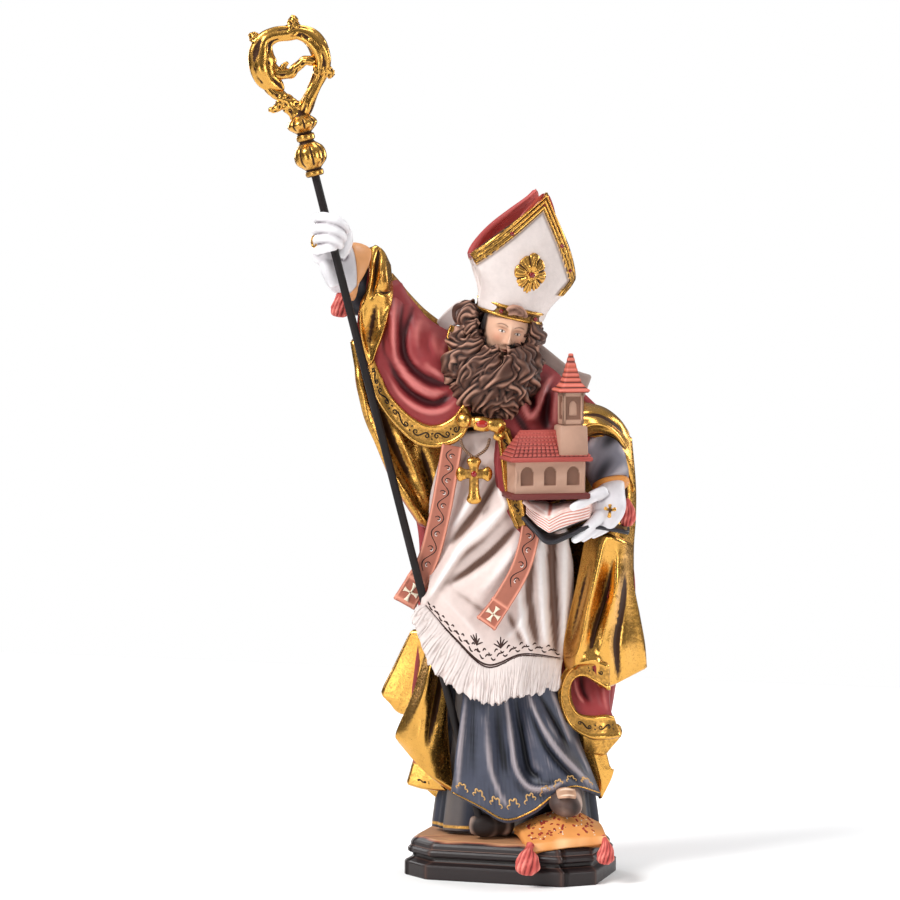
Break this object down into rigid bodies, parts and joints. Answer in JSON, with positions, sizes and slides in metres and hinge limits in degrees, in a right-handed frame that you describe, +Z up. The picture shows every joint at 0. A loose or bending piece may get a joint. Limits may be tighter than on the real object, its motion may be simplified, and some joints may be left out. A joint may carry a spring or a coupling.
{
  "type": "wooden saint statue",
  "caption": "Carved and painted wooden bishop on a moulded plinth, one arm raised with a crozier, the other holding a book and a small church model.",
  "frame": {"origin": "centre of the plinth's underside", "axes": "+Z up through the figure; +X along the plinth's long side, to a viewer's right; -Y out of the plinth's front"},
  "size_m": [0.1491, 0.1039, 0.3635],
  "materials": {
    "gilded": "gold leaf on carved maple, bright on the crests and brown in the recesses",
    "crook_gold": "gold leaf on carved maple, bright on the crests and brown in the recesses",
    "red_cope": "oil paint on carved maple, matt red with darker recesses",
    "white_alb": "oil paint on carved maple, warm white with pinkish folds",
    "salmon_stole": "oil paint on carved maple, salmon with painted scrolls",
    "blue_cassock": "oil paint on carved maple, blue grey with gold edge lines",
    "flesh": "oil paint on carved maple, satin",
    "beard_hair": "oil paint on carved maple, dark brown with lighter crests",
    "mitre_white": "oil paint on carved maple, warm white",
    "mitre_red": "oil paint on carved maple, matt red",
    "gloves_white": "oil paint on carved maple, cool white",
    "church_wall": "oil paint on carved maple, beige",
    "church_roof": "oil paint on carved maple, tile red",
    "book_pages": "oil paint on carved maple, white pages with salmon edges",
    "book_cover": "oil paint on carved maple, dark grey",
    "shoe_leather_brown": "oil paint on carved maple, dark brown",
    "cushion_ochre": "oil paint on carved maple, orange ochre with dots",
    "coral_tassel": "oil paint on carved maple, coral",
    "rod_dark": "dark stained rod, satin",
    "plinth_dark": "dark brown stained moulding with rubbed edges"
  },
  "bodies": {
    "root": {"figure": "white_alb", "plinth": "plinth_dark", "crozier_staff": "rod_dark", "crozier_crook": "crook_gold"}
  },
  "joints": []
}
